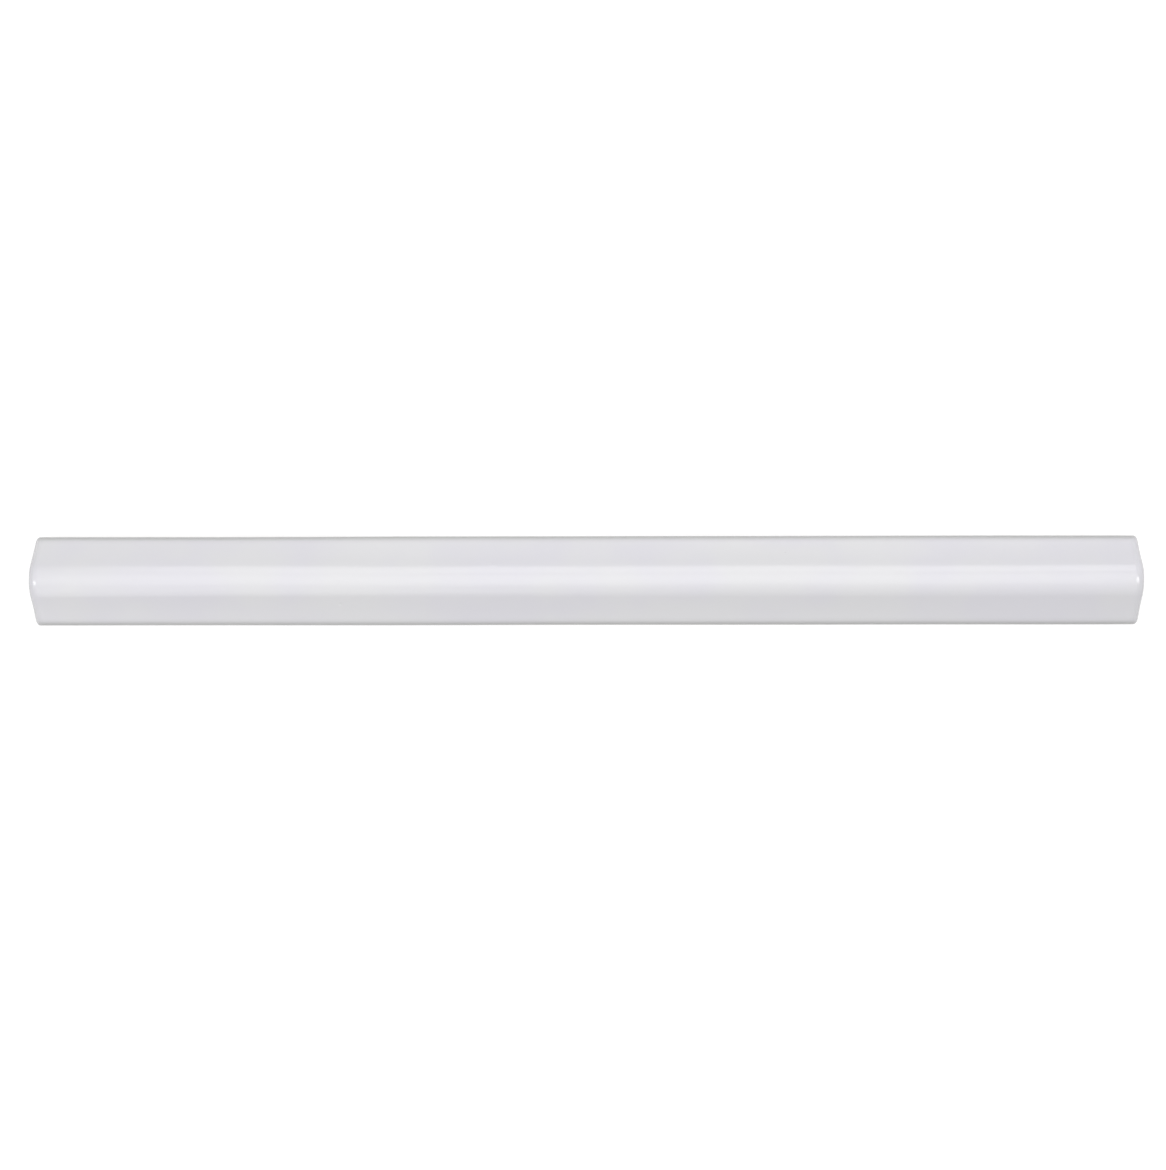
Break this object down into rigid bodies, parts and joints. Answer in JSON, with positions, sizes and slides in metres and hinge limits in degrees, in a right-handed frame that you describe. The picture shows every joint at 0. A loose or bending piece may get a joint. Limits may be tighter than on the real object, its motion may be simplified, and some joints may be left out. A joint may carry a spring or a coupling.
{
  "type": "pencil liner tile",
  "caption": "Narrow glazed ceramic trim tile with a rounded crown, sloping flanks, flat sides, rolled ends and a flat slotted back.",
  "frame": {"origin": "middle of the flat back, on the surface that the tile is bedded or rests on", "axes": "+X along the tile, +Y across it, +Z from the flat back to the crown"},
  "size_m": [0.2, 0.0162, 0.0105],
  "materials": {
    "white_glaze": "gloss"
  },
  "bodies": {
    "root": {"liner_tile": "white_glaze"}
  },
  "joints": []
}
